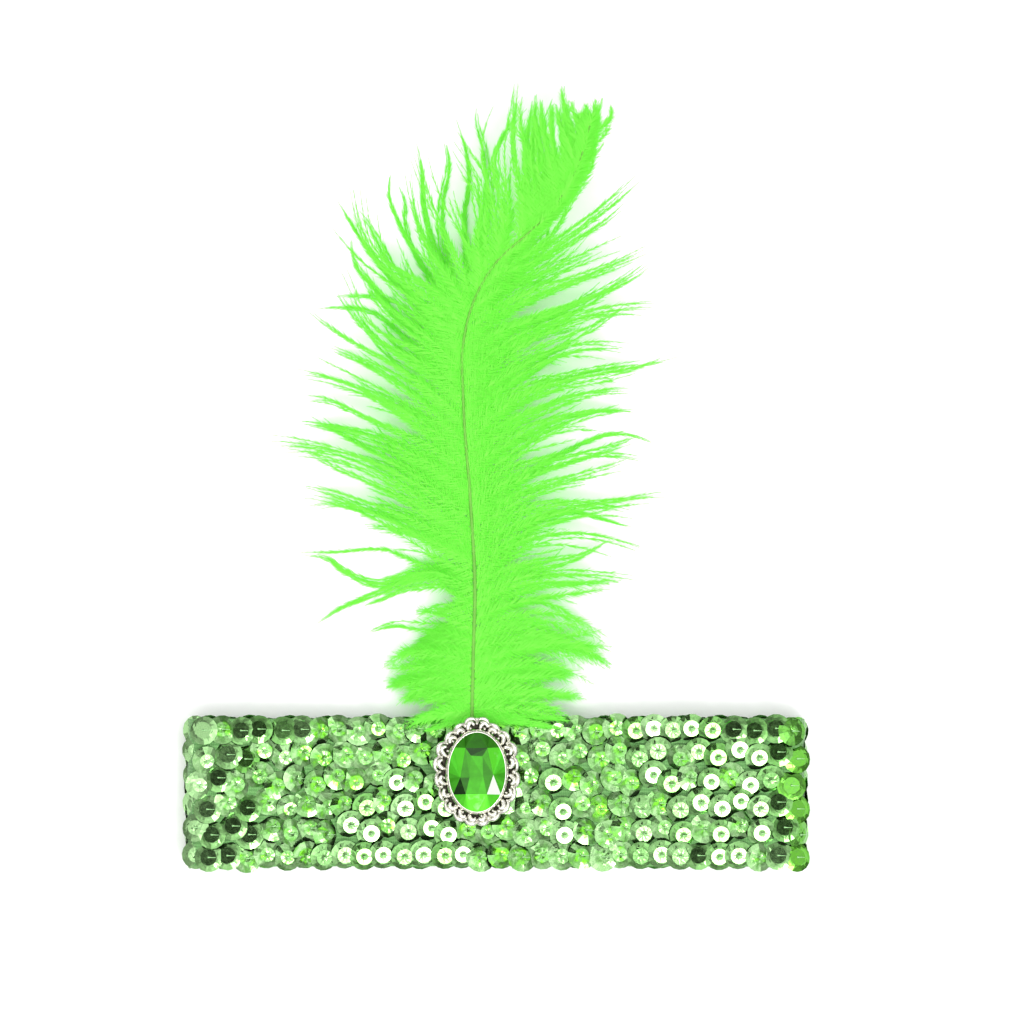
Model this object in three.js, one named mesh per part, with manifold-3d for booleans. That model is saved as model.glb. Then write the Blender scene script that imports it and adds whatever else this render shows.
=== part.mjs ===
// A flapper headband, lying flat on its back: a loop of sewn elastic covered all round in rows of
// overlapping sequins, an oval faceted stone in a cast setting on its front, and an ostrich plume
// whose quill is held under the setting by a hidden pad.
// Millimetres. +X runs along the band, +Y towards the plume's tip, +Z up from the surface.

import * as THREE from "three";
import { mergeVertices } from "three/addons/utils/BufferGeometryUtils.js";
import Module from "manifold-3d";

// Clearance between pieces that lie on each other
const seatGap = 0.3;
const sewnGap = 0.2;

// Elastic loop: its flat length from fold to fold, and the hollow that the head goes in
const elasticLength = 193;
const elasticWidth = 46;
const elasticThickness = 1;
const foldHollow = 9;
const middleHollow = 6;
const flatMiddle = 68;
const elasticEase = 45;

// Sequins: six strings, each sewn right round the loop
const sequinRows = 6;
const sequinDiameter = 8;
const sequinPitch = 6.2;
const sequinTucked = 0.6;
const sequinRaised = 1.5;
const sequinOverhang = 1.2;

// Stone and its setting
const stoneWidth = 18;
const stoneLength = 25;
const stoneCrown = 3;
const stoneGirdle = 0.8;
const stonePavilion = 1.6;
const stoneFacets = 8;
const tableShare = 0.6;
const pavilionShare = 0.45;
const settingWidth = 26.4;
const settingLength = 35;
const settingHeight = 4.6;
const settingFloor = 1;
const bezelWall = 1.1;
const settingScallops = 20;
const scallopDepth = 0.7;
const scallopSteps = 3;
const settingAside = -5.9;

// Pad between the band and the setting
const padWidth = 17;
const padLength = 24;
const padWall = 0.7;

// Plume
const quillRadius = 0.75;
const quillTuck = 19;
const quillAside = -7.5;
const shaftTipRadius = 0.3;
const plumeLength = 183;
const plumeReach = 60;
const curlHeight = 22;
const lockWidth = 8.4;
const lockThickness = 1.3;
// How wide a lock is along its length, from root to tip, as shares of its width
const lockWidths = [0.4, 1, 0.75, 0.12];
const floorClearance = 0.35;
const plumeTolerance = 0.2;

// The shaft's route above the band's edge, as shares of the plume's length and of the curl's height
const shaftRoute = [
  { along: 0.0, aside: 0.0, lift: 0.0 },
  { along: 0.1, aside: 0.002, lift: -0.06 },
  { along: 0.21, aside: 0.005, lift: -0.12 },
  { along: 0.37, aside: -0.003, lift: -0.1 },
  { along: 0.54, aside: -0.015, lift: 0.02 },
  { along: 0.633, aside: -0.015, lift: 0.16 },
  { along: 0.71, aside: 0.005, lift: 0.32 },
  { along: 0.775, aside: 0.045, lift: 0.46 },
  { along: 0.82, aside: 0.096, lift: 0.58 },
  { along: 0.86, aside: 0.137, lift: 0.7 },
  { along: 0.909, aside: 0.168, lift: 0.83 },
  { along: 0.956, aside: 0.188, lift: 0.93 },
  { along: 1.0, aside: 0.2, lift: 1.0 },
];

// The locks of barbs on each side, from the band upwards. root: share of the shaft. reach: sideways
// from root to tip, as a share of the plume's reach. sweep: along +Y from root to tip, as a share
// of the plume's length. lean: angle from the shaft at the root, in degrees. tip: height of the
// tip, as a share of the quill's height over the surface.
const leftLocks = [
  { root: 0.004, reach: 0.32, sweep: -0.015, lean: 84, tip: 1.06 },
  { root: 0.03, reach: 0.46, sweep: -0.009, lean: 76, tip: 0.5 },
  { root: 0.06, reach: 0.5, sweep: -0.012, lean: 70, tip: 0.3 },
  { root: 0.085, reach: 0.46, sweep: -0.004, lean: 66, tip: 0.25 },
  { root: 0.105, reach: 0.4, sweep: 0.009, lean: 64, tip: 0.2 },
  { root: 0.15, reach: 0.3, sweep: 0.015, lean: 66, tip: 0.12 },
  { root: 0.218, reach: 0.7, sweep: 0.094, lean: 66, tip: 0.03 },
  { root: 0.235, reach: 0.9, sweep: 0.11, lean: 60, tip: 0.03 },
  { root: 0.265, reach: 0.96, sweep: 0.146, lean: 52, tip: 0.03 },
  { root: 0.285, reach: 1.02, sweep: 0.14, lean: 48, tip: 0.03 },
  { root: 0.312, reach: 0.93, sweep: 0.138, lean: 46, tip: 0.03 },
  { root: 0.36, reach: 0.92, sweep: 0.141, lean: 42, tip: 0.03 },
  { root: 0.4, reach: 0.87, sweep: 0.166, lean: 40, tip: 0.03 },
  { root: 0.455, reach: 0.75, sweep: 0.169, lean: 36, tip: 0.05 },
  { root: 0.508, reach: 0.7, sweep: 0.17, lean: 34, tip: 0.1 },
  { root: 0.56, reach: 0.58, sweep: 0.222, lean: 30, tip: 0.2 },
  { root: 0.578, reach: 0.68, sweep: 0.228, lean: 30, tip: 0.3 },
  { root: 0.607, reach: 0.42, sweep: 0.23, lean: 27, tip: 0.5 },
  { root: 0.65, reach: 0.29, sweep: 0.282, lean: 24, tip: 0.8 },
  { root: 0.688, reach: 0.11, sweep: 0.279, lean: 22, tip: 1.1 },
  { root: 0.735, reach: 0, sweep: 0.262, lean: 28, tip: 1.5 },
  { root: 0.8, reach: 0.06, sweep: 0.237, lean: 44, tip: 1.9 },
  { root: 0.875, reach: 0.07, sweep: 0.174, lean: 33, tip: 2.2 },
  { root: 0.91, reach: 0.05, sweep: 0.134, lean: 25, tip: 2.35 },
  { root: 0.95, reach: 0.02, sweep: 0.088, lean: 16, tip: 2.5 },
  { root: 0.98, reach: -0, sweep: 0.051, lean: 9, tip: 2.6 },
];
const rightLocks = [
  { root: 0.004, reach: 0.46, sweep: -0.015, lean: 84, tip: 1.06 },
  { root: 0.025, reach: 0.55, sweep: -0.003, lean: 76, tip: 0.5 },
  { root: 0.075, reach: 0.68, sweep: 0.004, lean: 68, tip: 0.2 },
  { root: 0.122, reach: 0.67, sweep: -0.001, lean: 60, tip: 0.1 },
  { root: 0.145, reach: 0.81, sweep: 0.032, lean: 57, tip: 0.06 },
  { root: 0.16, reach: 0.84, sweep: 0.044, lean: 54, tip: 0.04 },
  { root: 0.175, reach: 0.89, sweep: 0.046, lean: 52, tip: 0.03 },
  { root: 0.21, reach: 0.85, sweep: 0.079, lean: 48, tip: 0.03 },
  { root: 0.245, reach: 0.92, sweep: 0.089, lean: 46, tip: 0.03 },
  { root: 0.287, reach: 0.86, sweep: 0.112, lean: 44, tip: 0.03 },
  { root: 0.312, reach: 0.98, sweep: 0.122, lean: 43, tip: 0.03 },
  { root: 0.35, reach: 0.92, sweep: 0.136, lean: 42, tip: 0.03 },
  { root: 0.387, reach: 0.92, sweep: 0.148, lean: 40, tip: 0.05 },
  { root: 0.453, reach: 0.88, sweep: 0.159, lean: 40, tip: 0.1 },
  { root: 0.505, reach: 0.98, sweep: 0.161, lean: 39, tip: 0.2 },
  { root: 0.54, reach: 1.05, sweep: 0.166, lean: 38, tip: 0.26 },
  { root: 0.57, reach: 0.93, sweep: 0.159, lean: 36, tip: 0.35 },
  { root: 0.615, reach: 0.87, sweep: 0.181, lean: 33, tip: 0.5 },
  { root: 0.65, reach: 0.84, sweep: 0.194, lean: 30, tip: 0.65 },
  { root: 0.69, reach: 0.67, sweep: 0.198, lean: 26, tip: 0.85 },
  { root: 0.725, reach: 0.49, sweep: 0.141, lean: 22, tip: 1 },
  { root: 0.8, reach: 0.31, sweep: 0.143, lean: 12, tip: 2.1 },
  { root: 0.85, reach: 0.24, sweep: 0.14, lean: 10, tip: 2.3 },
  { root: 0.9, reach: 0.16, sweep: 0.113, lean: 8, tip: 2.45 },
  { root: 0.95, reach: 0.07, sweep: 0.08, lean: 6, tip: 2.55 },
  { root: 0.985, reach: 0.01, sweep: 0.047, lean: 4, tip: 2.6 },
];

// Heights of the layers over the surface
const foldRadius = (foldHollow + elasticThickness) / 2;
const backCentre = sequinRaised + sewnGap + elasticThickness / 2;
const frontTop =
  backCentre + middleHollow + elasticThickness + elasticThickness / 2 + sewnGap + sequinRaised;
const quillHeight = frontTop + seatGap + quillRadius;
const padTop = quillHeight + quillRadius + seatGap + padWall;
const settingBottom = padTop + seatGap;
const bandEdge = elasticWidth / 2 + sequinOverhang;
const settingAlong = bandEdge - settingLength / 2;

const wasm = await Module();
wasm.setup();

// A closed geometry as a solid that can be joined and cut
function toSolid(geometry) {
  const bare = geometry.clone();
  bare.deleteAttribute("normal");
  bare.deleteAttribute("uv");
  const merged = mergeVertices(bare, 1e-4);
  return new wasm.Manifold(
    new wasm.Mesh({
      numProp: 3,
      vertProperties: merged.attributes.position.array,
      triVerts: new Uint32Array(merged.index.array),
    }),
  );
}

function toGeometry(solid) {
  const mesh = solid.getMesh();
  const geometry = new THREE.BufferGeometry();
  geometry.setAttribute("position", new THREE.BufferAttribute(mesh.vertProperties, 3));
  geometry.setIndex(new THREE.BufferAttribute(mesh.triVerts, 1));
  return geometry;
}

// A geometry from corner points and the triangles between them
function facetGeometry(points, triangles) {
  const geometry = new THREE.BufferGeometry();
  geometry.setFromPoints(points);
  geometry.setIndex(triangles.flat());
  return geometry;
}

// A closed skin over rings of points that have the same number of corners, with flat ends
function loft(rings) {
  const corners = rings[0].length;
  const triangles = [];
  for (let r = 0; r + 1 < rings.length; r++)
    for (let c = 0; c < corners; c++) {
      const next = (c + 1) % corners;
      const [a, b] = [r * corners + c, r * corners + next];
      triangles.push([a, b, b + corners], [a, b + corners, a + corners]);
    }
  const last = (rings.length - 1) * corners;
  for (let c = 1; c + 1 < corners; c++)
    triangles.push([0, c + 1, c], [last, last + c, last + c + 1]);
  return facetGeometry(rings.flat(), triangles);
}

function finish(name, geometry, colour, roughness, metalness) {
  const material = new THREE.MeshStandardMaterial({ color: colour, roughness, metalness });
  const mesh = new THREE.Mesh(geometry, material);
  mesh.name = name;
  return mesh;
}

// The centre line of the elastic's wall, closed, as [x, z] pairs that go round the loop: the
// right fold, the front run, which is lower in its flat middle than at the folds, the left fold.
// The back run is the straight line that closes it.
function loopLine(foldSteps, easeSteps) {
  const straight = elasticLength / 2 - elasticThickness / 2 - foldRadius;
  const frontCentre = backCentre + 2 * foldRadius;
  const dip = foldHollow - middleHollow;
  const line = [];
  for (let i = 0; i <= foldSteps; i++) {
    const turn = (Math.PI * i) / foldSteps - Math.PI / 2;
    const height = backCentre + foldRadius * (1 + Math.sin(turn));
    line.push([straight + foldRadius * Math.cos(turn), height]);
  }
  for (let i = easeSteps; i >= 0; i--) {
    const x = flatMiddle / 2 + (elasticEase * i) / easeSteps;
    line.push([x, frontCentre - dip * (1 - THREE.MathUtils.smoothstep(i, 0, easeSteps))]);
  }
  return [...line, ...line.map(([x, z]) => [-x, z]).reverse()];
}

// The closed line moved outwards by a distance, along the normal at each of its points
function offsetLine(line, distance) {
  return line.map(([x, z], i) => {
    const [bx, bz] = line[(i + line.length - 1) % line.length];
    const [ax, az] = line[(i + 1) % line.length];
    const length = Math.hypot(ax - bx, az - bz);
    return new THREE.Vector2(x + (distance * (az - bz)) / length, z - (distance * (ax - bx)) / length);
  });
}

// Elastic: the loop's wall, extruded across the band's width
function makeElastic() {
  const line = loopLine(12, 10);
  const outline = new THREE.Shape(offsetLine(line, elasticThickness / 2));
  outline.holes.push(new THREE.Path(offsetLine(line, -elasticThickness / 2)));
  const geometry = new THREE.ExtrudeGeometry(outline, { depth: elasticWidth, bevelEnabled: false });
  geometry.rotateX(Math.PI / 2);
  geometry.translate(0, elasticWidth / 2, 0);
  return finish("elastic_loop", geometry, 0x5fae4a, 0.8, 0);
}

// Where each sequin of a string touches the elastic: evenly spaced points with their directions
function sequinSeats() {
  const line = offsetLine(loopLine(40, 40), elasticThickness / 2 + sewnGap);
  const outline = new THREE.CurvePath();
  line.forEach((point, i) => {
    outline.add(new THREE.LineCurve(point, line[(i + 1) % line.length]));
  });
  const count = Math.round(outline.getLength() / sequinPitch);
  return Array.from({ length: count }, (_, i) => {
    const share = (i + 0.5) / count;
    const reach = 0.12 / count;
    const along = outline.getPoint(share + reach).sub(outline.getPoint(share - reach)).normalize();
    return { point: outline.getPoint(share), along, out: new THREE.Vector2(along.y, -along.x) };
  });
}

// The corner where the flat undersides of two neighbouring sequins meet
function meetingPoint(first, second) {
  const turn = first.along.cross(second.along);
  if (Math.abs(turn) < 1e-4) return first.point.clone().add(second.point).multiplyScalar(0.5);
  const step = second.point.clone().sub(first.point).cross(second.along) / turn;
  return first.point.clone().addScaledVector(first.along, step);
}

// One string of sequins round the loop. Each sequin is a flat tile with a rounded outline, low
// where it is tucked under its neighbour and high where it lies on the next.
function makeSequinRow(row, seats) {
  const pitch = (2 * bandEdge - sequinDiameter) / (sequinRows - 1);
  const across = row * pitch - (bandEdge - sequinDiameter / 2);
  const radius = sequinDiameter / 2;
  const tile = [
    { along: 0, half: radius * 0.6 },
    { along: 0.55, half: radius },
    { along: 1, half: radius * 0.66 },
  ];
  const under = radius * 0.5;
  const points = [];
  const triangles = [];
  const perTile = 2 + 2 * tile.length;
  const total = seats.length * perTile;
  seats.forEach((seat, i) => {
    const start = meetingPoint(seats[(i + seats.length - 1) % seats.length], seat);
    const end = meetingPoint(seat, seats[(i + 1) % seats.length]);
    for (const side of [-1, 1])
      points.push(new THREE.Vector3(start.x, across + side * under, start.y));
    for (const { along, half } of tile) {
      const height = THREE.MathUtils.lerp(sequinTucked, sequinRaised, along);
      const at = start.clone().lerp(end, along).addScaledVector(seat.out, height);
      for (const side of [-1, 1]) points.push(new THREE.Vector3(at.x, across + side * half, at.y));
    }
    const base = i * perTile;
    const after = (base + perTile) % total;
    const [low, high] = [base + 2, base + perTile - 2];
    triangles.push([base, after + 1, base + 1], [base, after, after + 1]);
    for (let k = 0; k + 1 < tile.length; k++) {
      const a = low + 2 * k;
      triangles.push([a, a + 3, a + 2], [a, a + 1, a + 3]);
    }
    triangles.push([high, after + 3, after + 2], [high, high + 1, after + 3]);
    const fan = [
      [base, after, high],
      [base, high, low + 2],
      [base, low + 2, low],
      [high, after, after + 2],
    ];
    for (const [a, b, c] of fan) triangles.push([a, c, b], [a + 1, b + 1, c + 1]);
  });
  return finish(`sequin_row_${row + 1}`, facetGeometry(points, triangles), 0x6fd05a, 0.25, 0.6);
}

// An oval ring of points: semi-axes, height, and how deep its outline is scalloped
function ovalRing(steps, halfWidth, halfLength, height, depth = 0) {
  return Array.from({ length: steps }, (_, i) => {
    const turn = (2 * Math.PI * i) / steps;
    const wave = (-depth / 2) * (1 + Math.cos(settingScallops * turn));
    return new THREE.Vector3(
      (halfWidth + wave) * Math.cos(turn),
      (halfLength + wave) * Math.sin(turn),
      height,
    );
  });
}

// Setting: a cast tray with a scalloped rim, a groove, and a plain bezel round the stone
function makeSetting() {
  const steps = settingScallops * scallopSteps;
  const [rimX, rimY] = [settingWidth / 2, settingLength / 2];
  const [seatX, seatY] = [stoneWidth / 2 + seatGap, stoneLength / 2 + seatGap];
  const [bezelX, bezelY] = [seatX + bezelWall, seatY + bezelWall];
  const crest = (rimX - bezelX) / 2;
  const rings = [
    ovalRing(steps, rimX - crest, rimY - crest, 0),
    ovalRing(steps, rimX, rimY, settingHeight * 0.45, scallopDepth),
    ovalRing(steps, rimX - crest * 0.7, rimY - crest * 0.7, settingHeight * 0.8, scallopDepth / 2),
    ovalRing(steps, bezelX + bezelWall / 2, bezelY + bezelWall / 2, settingHeight * 0.66),
    ovalRing(steps, bezelX - bezelWall * 0.4, bezelY - bezelWall * 0.4, settingHeight),
    ovalRing(steps, seatX, seatY, settingHeight),
    ovalRing(steps, seatX, seatY, settingFloor),
  ];
  const setting = finish("setting", loft(rings), 0xd8d8cf, 0.3, 1);
  setting.position.set(settingAside, settingAlong, settingBottom);
  return setting;
}

// Stone: an octagonal table, a crown and a shallow pavilion with a flat back
function makeStone() {
  const [halfWidth, halfLength] = [stoneWidth / 2, stoneLength / 2];
  const sides = stoneFacets * 2;
  const step = (2 * Math.PI) / sides;
  const corner = (turn, share, height) =>
    new THREE.Vector3(
      halfWidth * share * Math.cos(turn),
      halfLength * share * Math.sin(turn),
      height,
    );
  const ring = (share, height, turned = 0) =>
    Array.from({ length: sides }, (_, i) => corner((i + turned) * step, share, height));
  const crownBase = stonePavilion + stoneGirdle;
  const points = [
    ...ring(pavilionShare, 0),
    ...ring(1, stonePavilion),
    ...ring(1, crownBase),
    ...Array.from({ length: stoneFacets }, (_, i) =>
      corner((2 * i + 0.5) * step, tableShare, crownBase + stoneCrown),
    ),
  ];
  const triangles = [];
  for (let i = 0; i < sides; i++) {
    const next = (i + 1) % sides;
    for (const base of [0, sides]) {
      triangles.push([base + i, base + next, base + sides + next]);
      triangles.push([base + i, base + sides + next, base + sides + i]);
    }
  }
  const table = 3 * sides;
  for (let i = 0; i < stoneFacets; i++) {
    const [a, b, c] = [2 * i, 2 * i + 1, (2 * i + 2) % sides].map((k) => 2 * sides + k);
    const [here, next] = [table + i, table + ((i + 1) % stoneFacets)];
    triangles.push([a, b, here], [b, c, next], [b, next, here]);
  }
  for (let i = 1; i + 1 < stoneFacets; i++) triangles.push([table, table + i, table + i + 1]);
  for (let i = 1; i + 1 < sides; i++) triangles.push([0, i + 1, i]);
  const stone = finish("stone", facetGeometry(points, triangles), 0x35c022, 0.05, 0);
  stone.position.set(settingAside, settingAlong, settingBottom + settingFloor + seatGap);
  return stone;
}

// Where the shaft's centre line runs, from the quill's end under the setting to the tip
function shaftCurve() {
  const above = shaftRoute.map(
    ({ along, aside, lift }) =>
      new THREE.Vector3(
        quillAside + aside * plumeLength,
        bandEdge + along * plumeLength,
        quillHeight + lift * curlHeight,
      ),
  );
  return new THREE.CatmullRomCurve3(above, false, "centripetal");
}

// A round rod along a list of points, with a radius at each of them
function rod(points, radii, sides) {
  const rings = points.map((point, i) => {
    const before = points[Math.max(i - 1, 0)];
    const after = points[Math.min(i + 1, points.length - 1)];
    const along = after.clone().sub(before).normalize();
    const aside = new THREE.Vector3().crossVectors(along, new THREE.Vector3(0, 0, 1)).normalize();
    const up = new THREE.Vector3().crossVectors(aside, along);
    return Array.from({ length: sides }, (_, k) => {
      const turn = (2 * Math.PI * k) / sides;
      return point
        .clone()
        .addScaledVector(aside, radii[i] * Math.cos(turn))
        .addScaledVector(up, radii[i] * Math.sin(turn));
    });
  });
  return loft(rings.map((ring) => ring.reverse()));
}

// The quill and shaft in one tapering rod. Extra room round it makes the cutter for its groove.
function makeShaft(shaft, room = 0) {
  const steps = 14;
  const points = [new THREE.Vector3(quillAside, bandEdge - quillTuck - room, quillHeight)];
  const radii = [quillRadius + room];
  for (let i = 0; i <= steps; i++) {
    points.push(shaft.getPointAt(i / steps));
    radii.push(THREE.MathUtils.lerp(quillRadius, shaftTipRadius, i / steps) + room);
  }
  return toSolid(rod(points, radii, 6));
}

// One lock of barbs: a tapering strip with a ridge along its top, that leaves the shaft, arches
// out and comes down to its tip.
function makeLock(shaft, side, { root, reach, sweep, lean, tip }) {
  const from = shaft.getPointAt(root);
  const along = shaft.getTangentAt(root);
  const to = from.clone().add(new THREE.Vector3(side * reach * plumeReach, sweep * plumeLength, 0));
  to.z = Math.max(tip * quillHeight, floorClearance);
  const span = from.distanceTo(to);
  const launch = along.clone().applyAxisAngle(
    new THREE.Vector3(0, 0, 1),
    -side * THREE.MathUtils.degToRad(lean),
  );
  const path = new THREE.CubicBezierCurve3(
    from,
    from.clone().addScaledVector(launch, span * 0.36).add(new THREE.Vector3(0, 0, span * 0.05)),
    to.clone().lerp(from, 0.34).add(new THREE.Vector3(0, span * 0.12, span * 0.07)),
    to,
  );
  const rings = lockWidths.map((share, i) => {
    const at = path.getPoint(i / (lockWidths.length - 1));
    const ahead = path.getTangent(i / (lockWidths.length - 1));
    const across = new THREE.Vector3(-ahead.y, ahead.x, 0).setLength((share * lockWidth) / 2);
    const ridge = new THREE.Vector3(0, 0, lockThickness * Math.min(1, share + 0.3));
    return [at.clone().add(across), at.clone().add(ridge), at.clone().sub(across)];
  });
  return toSolid(loft(rings));
}

// Plume: the shaft with every lock joined to it
function makePlume(shaft) {
  let plume = makeShaft(shaft);
  for (const lock of leftLocks) plume = plume.add(makeLock(shaft, -1, lock));
  for (const lock of rightLocks) plume = plume.add(makeLock(shaft, 1, lock));
  // The outer skin alone, so that no pocket stays sealed in where locks cross
  const skins = plume.simplify(plumeTolerance).decompose();
  const outer = skins.reduce((best, skin) => (skin.volume() > best.volume() ? skin : best));
  return finish("ostrich_plume", toGeometry(outer), 0x7cfc4c, 0.9, 0);
}

// Pad: hidden under the setting, grooved from below for the quill
function makePad(shaft) {
  const steps = 28;
  const oval = new THREE.Shape();
  oval.absellipse(0, 0, padWidth / 2, padLength / 2, 0, 2 * Math.PI, false, 0);
  const bottom = frontTop + seatGap;
  const geometry = new THREE.ExtrudeGeometry(oval, {
    depth: padTop - bottom,
    bevelEnabled: false,
    curveSegments: steps / 2,
  });
  geometry.translate(settingAside, settingAlong, bottom);
  const groove = makeShaft(shaft, seatGap);
  const slot = new THREE.BoxGeometry(
    2 * (quillRadius + seatGap),
    2 * (quillTuck + seatGap),
    2 * (quillRadius + seatGap),
  );
  slot.translate(quillAside, bandEdge, quillHeight - quillRadius - seatGap);
  const pad = toSolid(geometry).subtract(groove).subtract(toSolid(slot));
  return finish("fixing_pad", toGeometry(pad), 0x4c9a3c, 0.95, 0);
}

const headband = new THREE.Group();
headband.add(makeElastic());
const seats = sequinSeats();
for (let row = 0; row < sequinRows; row++) headband.add(makeSequinRow(row, seats));
const shaft = shaftCurve();
headband.add(makePad(shaft), makeSetting(), makeStone(), makePlume(shaft));

// The origin: the middle of the headband's outline, on the surface that it lies on
const bounds = new THREE.Box3().setFromObject(headband, true);
const middle = bounds.getCenter(new THREE.Vector3());
headband.position.set(-middle.x, -middle.y, -bounds.min.z);

const part = new THREE.Group();
part.add(headband);

export default part;
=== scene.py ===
# The looks of a flapper headband that lies on its back: sequins, cast setting, stone and plume.
# Lengths are in millimetres until a mesh is made.
import math

import bpy
import numpy as np
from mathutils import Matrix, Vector


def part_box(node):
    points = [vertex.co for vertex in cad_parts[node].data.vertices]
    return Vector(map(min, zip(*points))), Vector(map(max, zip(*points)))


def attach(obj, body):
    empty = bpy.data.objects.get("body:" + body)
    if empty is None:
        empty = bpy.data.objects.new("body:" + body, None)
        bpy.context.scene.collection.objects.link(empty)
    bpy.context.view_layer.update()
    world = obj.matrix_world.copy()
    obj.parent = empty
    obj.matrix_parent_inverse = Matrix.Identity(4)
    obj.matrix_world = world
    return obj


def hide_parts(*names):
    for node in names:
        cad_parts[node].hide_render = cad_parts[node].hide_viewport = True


MM = 0.001
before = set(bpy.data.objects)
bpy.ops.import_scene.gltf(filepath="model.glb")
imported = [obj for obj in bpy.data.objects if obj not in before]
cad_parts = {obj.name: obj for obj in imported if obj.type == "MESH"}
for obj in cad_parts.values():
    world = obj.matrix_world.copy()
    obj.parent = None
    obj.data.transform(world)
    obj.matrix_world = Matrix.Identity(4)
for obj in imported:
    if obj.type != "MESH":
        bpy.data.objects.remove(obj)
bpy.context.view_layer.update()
# Each craft has its own stream of chance, so that a change to one leaves the others alone
sewing = np.random.default_rng(27)
casting = np.random.default_rng(8)
growth = np.random.default_rng(31)

# The band's middle in the frame, from the elastic that the model gives
elastic_low, elastic_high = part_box("elastic_loop")
band_x = (elastic_low.x + elastic_high.x) / 2 / MM
band_y = (elastic_low.y + elastic_high.y) / 2 / MM

# Elastic loop and sequins, as the model has them
elastic_length = 193
elastic_width = 46
elastic_thickness = 1
fold_hollow = 9
middle_hollow = 6
flat_middle = 68
elastic_ease = 45
sewn_gap = 0.2
seat_gap = 0.3
sequin_raised = 1.5
sequin_overhang = 1.2
sequin_radius = 4
sequin_pitch = 6.2
sequin_rows = 6
row_pitch = 2 * (elastic_width / 2 + sequin_overhang - sequin_radius) / (sequin_rows - 1)
back_centre = sequin_raised + sewn_gap + elastic_thickness / 2
fold_radius = (fold_hollow + elastic_thickness) / 2
front_top = back_centre + middle_hollow + 1.5 * elastic_thickness + sewn_gap + sequin_raised
band_edge = elastic_width / 2 + sequin_overhang

# Plume, as the model has it
quill_radius = 0.75
quill_tuck = 19
quill_aside = -7.5
quill_height = front_top + seat_gap + quill_radius
shaft_tip_radius = 0.3
plume_length = 183
plume_reach = 60
curl_height = 22


def add_piece(name, points, faces, finish, smooth=True, marks=None):
    """A piece from points in millimetres and faces that all have the same number of corners.
    marks: named values of the points, which the finish reads."""
    points = np.asarray(points, float) * MM
    faces = np.asarray(faces, int)
    mesh = bpy.data.meshes.new(name)
    corners = faces.shape[1]
    mesh.vertices.add(len(points))
    mesh.vertices.foreach_set("co", points.ravel())
    mesh.loops.add(faces.size)
    mesh.loops.foreach_set("vertex_index", faces.ravel())
    mesh.polygons.add(len(faces))
    mesh.polygons.foreach_set("loop_start", np.arange(0, faces.size, corners))
    mesh.polygons.foreach_set("use_smooth", np.full(len(faces), smooth))
    for mark, values in (marks or {}).items():
        mesh.attributes.new(mark, "FLOAT", "POINT").data.foreach_set("value", values)
    mesh.update(calc_edges=True)
    mesh.validate()
    mesh.materials.append(finish)
    piece = bpy.data.objects.new(name, mesh)
    bpy.context.scene.collection.objects.link(piece)
    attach(piece, "root")
    return piece


def join(parts):
    """Points and faces of several parts as one."""
    points, faces, start = [], [], 0
    for part_points, part_faces in parts:
        points.append(np.asarray(part_points, float))
        faces.append(np.asarray(part_faces, int) + start)
        start += len(part_points)
    return np.concatenate(points), np.concatenate(faces)


def ring_faces(rings, corners, closed=False):
    """Four-cornered faces between rings of points, each with the same number of corners."""
    around = np.arange(corners)
    following = (around + 1) % corners
    faces = []
    for here in range(rings if closed else rings - 1):
        low = here * corners
        high = ((here + 1) % rings) * corners
        faces.append(np.stack([low + around, low + following, high + following, high + around], 1))
    return np.concatenate(faces)


def unit(vectors):
    """The same directions, each with length 1."""
    return vectors / np.maximum(np.linalg.norm(vectors, axis=-1, keepdims=True), 1e-9)


def tube(path, radii, sides=8):
    """A round rod along a path of points, as rings of points and faces, drawn in at both ends."""
    path = np.asarray(path, float)
    radii = np.broadcast_to(np.asarray(radii, float), len(path)).copy()
    along = unit(np.gradient(path, axis=0))
    aside = unit(np.cross(along, [0.013, 0.021, 1.0]))
    up = np.cross(aside, along)
    turn = 2 * np.pi * np.arange(sides) / sides
    circle = aside[:, None] * np.cos(turn)[None, :, None] + up[:, None] * np.sin(turn)[None, :, None]
    points = path[:, None] + circle * radii[:, None, None]
    ends = [path[:1].repeat(sides, 0)[None], path[-1:].repeat(sides, 0)[None]]
    points = np.concatenate([ends[0], points, ends[1]])
    return points.reshape(-1, 3), ring_faces(len(points), sides)


class Wire:
    """One socket of a finish. Arithmetic on it adds Math nodes."""

    def __init__(self, finish, socket):
        self.finish = finish
        self.socket = socket

    def __add__(self, other):
        return self.finish.math("ADD", self, other)

    def __sub__(self, other):
        return self.finish.math("SUBTRACT", self, other)

    def __rsub__(self, other):
        return self.finish.math("SUBTRACT", other, self)

    def __mul__(self, other):
        return self.finish.math("MULTIPLY", self, other)

    def __truediv__(self, other):
        return self.finish.math("DIVIDE", self, other)

    __radd__ = __add__
    __rmul__ = __mul__


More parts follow.
